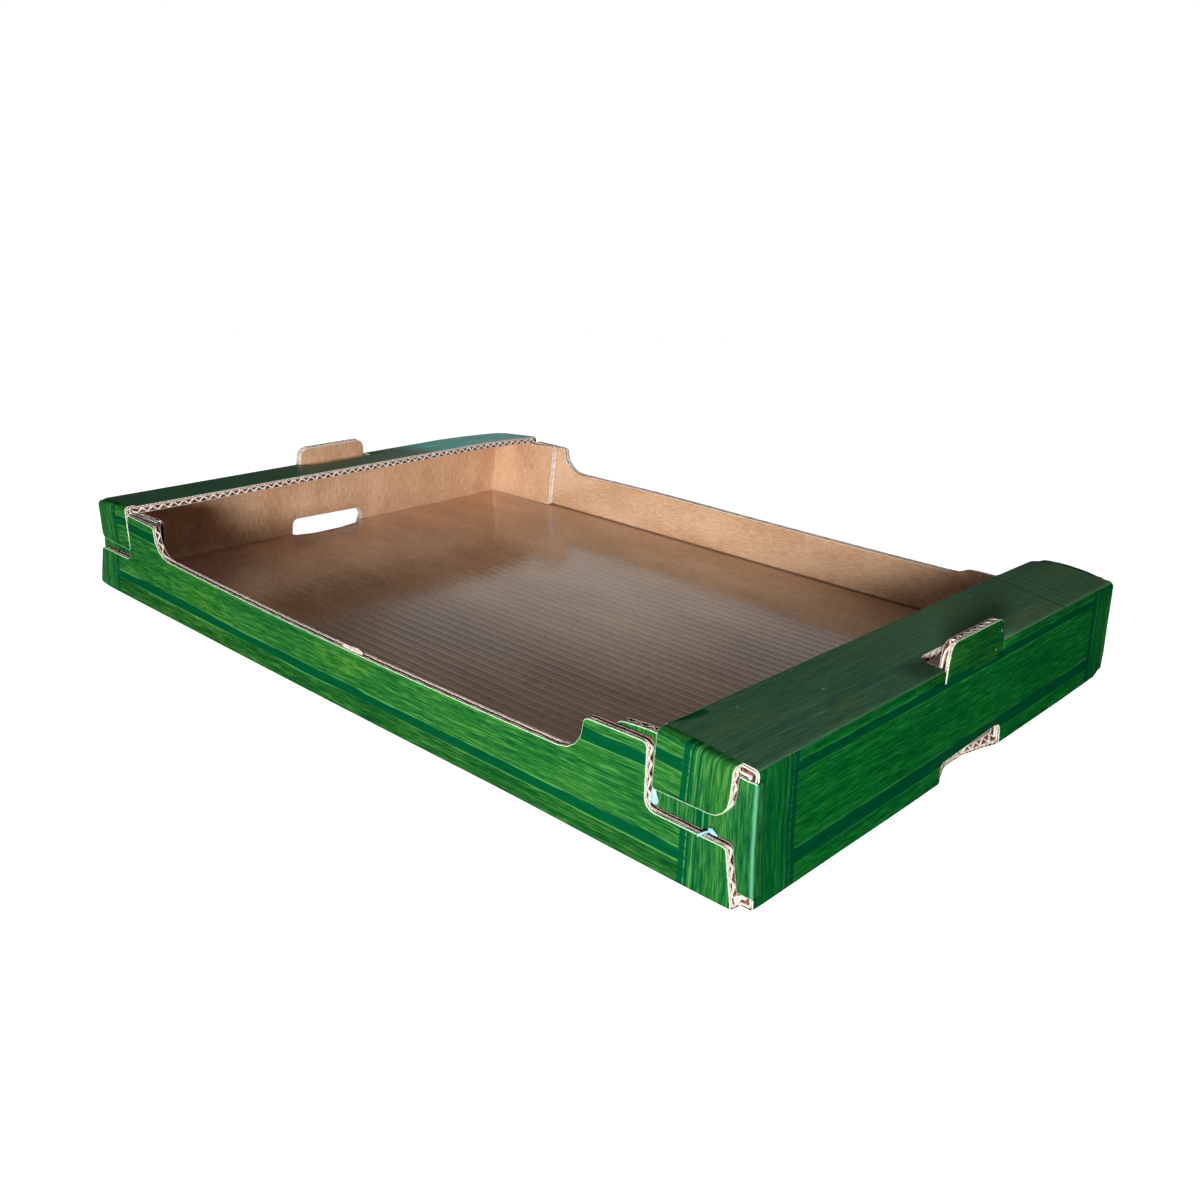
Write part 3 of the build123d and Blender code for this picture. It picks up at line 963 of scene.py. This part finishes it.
def mark_flap(m):
    """The line along a side flap's fold, partly worn and partly a painted highlight, brighter on the
    front.
    """
    x, _, z = m.split(m.place())
    ragged = m.plus(m.noise(m.scaled(m.place(), (300, 150, 3)), 2), 0.0006, m.math("ABSOLUTE", x))
    # Wear and a painted highlight: brighter on the corner that faces the light
    worn = m.times(m.band(ragged, 0.1949, 0.1959, 0.0008), m.step(z, 1.9, 2.0, 0.3, 0.9))
    add_marks(m, (0.11, 0.39, 0.24), [worn])


def kraft_material():
    """Bare liner: fibres, clouds, and a washboard where the flutes show through."""
    m = Shade("kraft")
    place = m.place()
    x, y, _ = m.split(place)
    fibre = m.noise(m.scaled(place, (130, 900, 3)), 5, 0.65)
    speck = m.noise(m.scaled(place, (420, 900, 3)), 4, 0.7)
    cloud = m.noise(m.scaled(place, (12, 30, 3)), 3, 0.5)
    tone = m.plus(speck, 0.25, m.times(cloud, 0.3))
    tone = m.plus(fibre, 0.45, tone)
    colour = m.mix(m.step(tone, 0.4, 0.6), srgb(190, 148, 114), srgb(226, 189, 156))
    m.set("Base Color", colour)
    m.set("Roughness", m.step(fibre, 0.3, 0.7, 0.11, 0.15))
    # A painted highlight along a ridge by the left slot, and painted shade in the folds along the long
    # walls
    line = m.times(m.band(x, -0.2719, -0.2709, 0.0003), m.band(y, -0.015, 0.041, 0.002))
    add_marks(m, (0.62, 0.44, 0.30), [m.times(line, 0.8)])
    # Painted shade: dark brown inside the folds between the floor and the long walls
    fold = m.band(m.math("ABSOLUTE", y), 0.1951, 0.2062, 0.0003)
    on_wall = m.step(m.math("ABSOLUTE", x), 0.2930, 0.2945, 0.75, 0.0)
    add_marks(m, (0.10, 0.045, 0.02), [m.times(fold, on_wall)])
    turn = m.plus(cloud, 0.8, m.times(y, FLUTE_TURNS))
    wave = m.math("ABSOLUTE", m.math("SINE", m.times(turn, 0.5)))
    height = m.plus(m.math("POWER", wave, 7.0), 0.00004, m.times(speck, 0.000012))
    bump = m.node("Bump", {"Height": height, "Strength": 1.0, "Distance": 1.0})
    m.set("Normal", bump)
    return m.material


def paper_material(name, low, high, scale, rough):
    """Raw paper of the cut edges, speckled between two colours."""
    m = Shade(name)
    speck = m.noise(m.scaled(m.place(), scale), 5, 0.7)
    m.set("Base Color", m.mix(m.step(speck, 0.35, 0.65), low, high))
    m.set("Roughness", rough)
    m.set("Specular IOR Level", 0.2)
    return m.material


def glue_material():
    """Light blue glue, slightly clouded."""
    m = Shade("glue")
    coord = m.node("TexCoord", output=3)
    cloud = m.noise(m.scaled(coord, (300, 300, 300)), 2, 0.5)
    m.set("Base Color", m.mix(cloud, srgb(120, 180, 215), srgb(170, 215, 235)))
    m.set("Roughness", 0.28)
    return m.material


def print_materials():
    """The parts of the print, from the long walls to the tabs."""
    tones = ((0.004, 0.072, 0.017), (0.016, 0.132, 0.022), (0.060, 0.232, 0.045),
             (0.0002, 0.060, 0.019))
    # Painted shade: the end walls' tones are the long walls' print made darker and less red
    end_shade_tones = ((0.0005, 0.067, 0.0135), (0.0025, 0.110, 0.019), (0.012, 0.176, 0.027),
                 (0.0001, 0.053, 0.020))
    # Painted sheen and light: the shelves' tones are the same print made greyer and lighter on their
    # tops
    shelf_sheen_tones = ((0.050, 0.135, 0.078), (0.068, 0.172, 0.095), (0.090, 0.212, 0.112),
                   (0.048, 0.128, 0.080))
    far_shelf_sheen_tones = ((0.020, 0.125, 0.055), (0.030, 0.165, 0.070), (0.050, 0.215, 0.090),
                 (0.015, 0.110, 0.055))
    tab_tones = ((0.002, 0.056, 0.014), (0.006, 0.088, 0.018), (0.016, 0.140, 0.026),
                 (0.0001, 0.050, 0.019))
    long_joints, end_joints = [(0.0125, 0.0182), (0.0512, 0.0575)], [(0.0107, 0.018), (0.055, 0.060)]
    shelf_joint = [(0.0185, 0.0235)]
    made = [
        print_material("print_long", tones, long_joints, 0.269, foot_tone=0.72),
        print_material("print_end", end_shade_tones, end_joints, 0.171),
        print_material("print_shelf", shelf_sheen_tones, shelf_joint),
        print_material("print_shelf_far", far_shelf_sheen_tones, shelf_joint, rough=0.42, shine=0.12),
        print_material("print_tab", tab_tones),
        print_material("print_flap", tones, upright=True, stripe=(0.2186, 0.2256)),
    ]
    # The marks add print and wear, and painted light too: sheen on the shelves, shade on the right
    # shelf, a highlight on the flaps' folds
    for shade, mark in zip(made[2:], (mark_shelf, paint_far_shelf_sheen, mark_tab, mark_flap)):
        mark(shade)
    return {shade.material.name: shade.material for shade in made}


MATERIALS = {
    **print_materials(),
    "kraft": kraft_material(),
    "cut": paper_material("cut_paper", srgb(216, 196, 184), srgb(252, 246, 240), (700, 700, 3), 0.8),
    "lip": paper_material("lip", srgb(120, 184, 134), srgb(206, 226, 194), (500, 500, 3), 0.8),
    # core: painted shade, dark brown for the shaded hollows between the flutes
    "core": paper_material("core", srgb(30, 14, 10), srgb(128, 88, 72), (300, 300, 3), 0.9),
    "glue": glue_material(),
}


def new_mesh(name, verts, faces, *materials):
    mesh = bpy.data.meshes.new(name)
    mesh.from_pydata(verts, [], faces)
    for material in materials:
        mesh.materials.append(material)
    return mesh


def new_object(name, data):
    thing = bpy.data.objects.new(name, data)
    bpy.context.collection.objects.link(thing)
    return thing


def tube(starts, count):
    """Faces of a closed tube through rings of so many points, given where each starts."""
    caps = [range(starts[0], starts[0] + count)[::-1], range(starts[-1], starts[-1] + count)]
    turns = [(k, (k + 1) % count) for k in range(count)]
    return [*map(tuple, caps), *((start + a, start + b, start + b + count, start + a + count)
                                 for start in starts[:-1] for a, b in turns)]


def add_drops(drops):
    """Flattened drops of glue, drawn from their sections."""
    verts, faces = [], []
    around = 12
    for sections in drops:
        first = len(verts)
        ways = np.gradient(np.array(sections)[:, :3], axis=0)
        for way, (*centre, wide, high) in zip(ways, sections):
            across = np.cross(way, (0, 1, 0))
            across /= np.linalg.norm(across)
            for k in range(around):
                turn = 2 * math.pi * k / around
                out = np.array((0, high * math.sin(turn), 0))
                verts.append(centre + across * wide * math.cos(turn) + out)
        faces += tube(range(first, len(verts), around), around)
    mesh = new_mesh("glue_drops", [tuple(v * MM) for v in verts], faces, MATERIALS["glue"])
    bm = bmesh.new()
    bm.from_mesh(mesh)
    bmesh.ops.recalc_face_normals(bm, faces=bm.faces)
    bm.to_mesh(mesh)
    bm.free()
    mesh.shade_smooth()
    piece = new_object("glue_drops", mesh)
    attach(piece, "root")
    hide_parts("glue_beads")


# Each section: x, y, z, half width, half height out of the board
DROPS = [
    [(242.6, -196.9, 42.2, 0.15, 0.2), (243.0, -197.1, 39.5, 0.7, 0.6), (243.5, -197.3, 36.5, 1.5, 1.0),
     (244.0, -197.4, 34.0, 2.3, 1.3), (244.3, -197.4, 32.2, 2.4, 1.3), (244.5, -197.2, 31.0, 1.7, 1.0),
     (244.6, -197.0, 30.3, 0.6, 0.5)],
    [(275.4, -197.0, 30.0, 0.3, 0.4), (276.2, -197.3, 30.8, 1.3, 0.9), (277.3, -197.4, 30.8, 1.5, 1.1),
     (278.7, -197.3, 30.1, 1.0, 0.9), (280.6, -196.9, 29.3, 0.3, 0.3)],
    [(276.0, -197.2, 29.9, 0.7, 0.8), (275.2, -199.4, 29.9, 0.6, 0.5), (274.3, -201.9, 29.7, 0.5, 0.5),
     (273.8, -202.5, 28.9, 0.4, 0.4), (273.5, -202.5, 28.2, 0.15, 0.2)],
]


def add_chip():
    """A torn bit of white liner lying on the front wall's low edge."""
    outline = [(15, -205.4, 42.3), (24, -205.6, 42.2), (34, -205.2, 42.3), (33, -204.3, 42.8),
               (28, -203.5, 43.3), (21, -203.9, 43.0), (16, -204.1, 43.1)]
    count = len(outline)
    verts = [(x * MM, y * MM, (z + lift) * MM) for lift in (0, 0.5) for x, y, z in outline]
    mesh = new_mesh("torn_chip", verts, tube((0, count), count), MATERIALS["cut"])
    store_places(mesh, [verts[loop.vertex_index] for loop in mesh.loops])
    piece = new_object("torn_chip", mesh)
    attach(piece, "root")


add_chip()
build_sheet()
add_drops(DROPS)
for node in ("glue_strips", "glue_beads"):
    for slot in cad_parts[node].material_slots:
        slot.material = MATERIALS["glue"]

# Camera, floor and light
CAMERA = (0.54981, -0.57440, 0.30337)
LOOK_AZIMUTH = 47.634  # degrees from -X towards +Y
LOOK_DOWN = 19.790
ROLL = 2.032
LENS = 35.882
FLOOR = 6.0  # half side
FLOOR_GLOW = 0.95
AMBIENT = 0.12
KEY_PLACE = Vector((0.50 * 2.1, -0.866 * 2.1, 0.32))
KEY_TARGET = Vector((0, 0, 0.04))
KEY_POWER = 59


def add_camera():
    turn, down, roll = map(math.radians, (LOOK_AZIMUTH, LOOK_DOWN, ROLL))
    forward = Vector((-math.cos(turn), math.sin(turn), -math.tan(down))).normalized()
    level = forward.cross(Vector((0, 0, 1))).normalized()
    over = level.cross(forward)
    right = level * math.cos(roll) + over * math.sin(roll)
    up = right.cross(forward)
    place = Matrix((right, up, -forward)).transposed().to_4x4()
    camera = new_object("camera", bpy.data.cameras.new("camera"))
    camera.matrix_world = Matrix.Translation(CAMERA) @ place
    camera.data.lens = LENS
    camera.data.sensor_width = 36
    camera.data.clip_start = 0.01
    bpy.context.scene.camera = camera


def add_key_light():
    data = bpy.data.lights.new("key", "AREA")
    data.shape = "RECTANGLE"
    data.size, data.size_y = 0.6, 0.35
    data.energy = KEY_POWER
    data.color = WARM
    light = new_object("key", data)
    light.location = KEY_PLACE
    light.rotation_euler = (KEY_TARGET - KEY_PLACE).to_track_quat("-Z", "Y").to_euler()


def add_floor():
    """White floor that keeps its shadows, and fades into the white surround."""
    corners = [(-FLOOR, -FLOOR, 0), (FLOOR, -FLOOR, 0), (FLOOR, FLOOR, 0), (-FLOOR, FLOOR, 0)]
    floor = new_object("floor", new_mesh("floor", corners, [(0, 1, 2, 3)]))
    m = Shade("floor")
    coord = m.node("TexCoord", output=3)
    m.set("Base Color", m.mix(m.noise(coord, 2), (0.82, 0.82, 0.82), (0.84, 0.84, 0.84)))
    m.set("Roughness", 0.9)
    m.set("Specular IOR Level", 0.0)
    path = m.tree.nodes.new("ShaderNodeLightPath").outputs
    seen = m.highest([path[f"Is {ray} Ray"] for ray in ("Camera", "Glossy", "Transmission")])
    m.set("Emission Color", WHITE)
    m.set("Emission Strength", m.times(seen, FLOOR_GLOW))
    distance = m.node("VectorMath", {0: coord}, output=1, operation="LENGTH")
    clear = m.node("BsdfTransparent")
    fade = m.step(distance, 0.75, 1.6)
    mixed = m.node("MixShader", {0: fade, 1: m.shader.outputs[0], 2: clear})
    m.put(m.tree.nodes["Material Output"].inputs[0], mixed)
    floor.data.materials.append(m.material)


def add_world():
    """White to the eye, brightest in reflections low and behind, and dim as light."""
    world = bpy.data.worlds.new("world")
    world.use_nodes = True
    m = Shade.__new__(Shade)
    m.tree = world.node_tree
    ray = m.node("TexCoord")
    x, y, z = m.split(ray)
    azimuth = m.math("ARCTAN2", y, m.times(x, -1.0))
    level = m.math("ARCSINE", z)
    behind = m.step(azimuth, math.radians(33), math.radians(40))
    low = m.step(level, math.radians(17), math.radians(26), 1.0, 0.06)
    mirrored = m.plus(m.times(behind, low), 0.85, 0.08)
    path = m.tree.nodes.new("ShaderNodeLightPath").outputs
    strength = m.blend(path["Is Glossy Ray"], AMBIENT, mirrored)
    seen = m.highest([path["Is Camera Ray"], path["Is Transmission Ray"]])
    strength = m.blend(seen, strength, 1.0)
    background = m.tree.nodes["Background"]
    m.put(background.inputs["Color"], m.mix(seen, WARM, WHITE))
    m.put(background.inputs["Strength"], strength)
    bpy.context.scene.world = world


add_camera()
add_floor()
add_world()
add_key_light()
bpy.context.scene.view_settings.view_transform = "Standard"
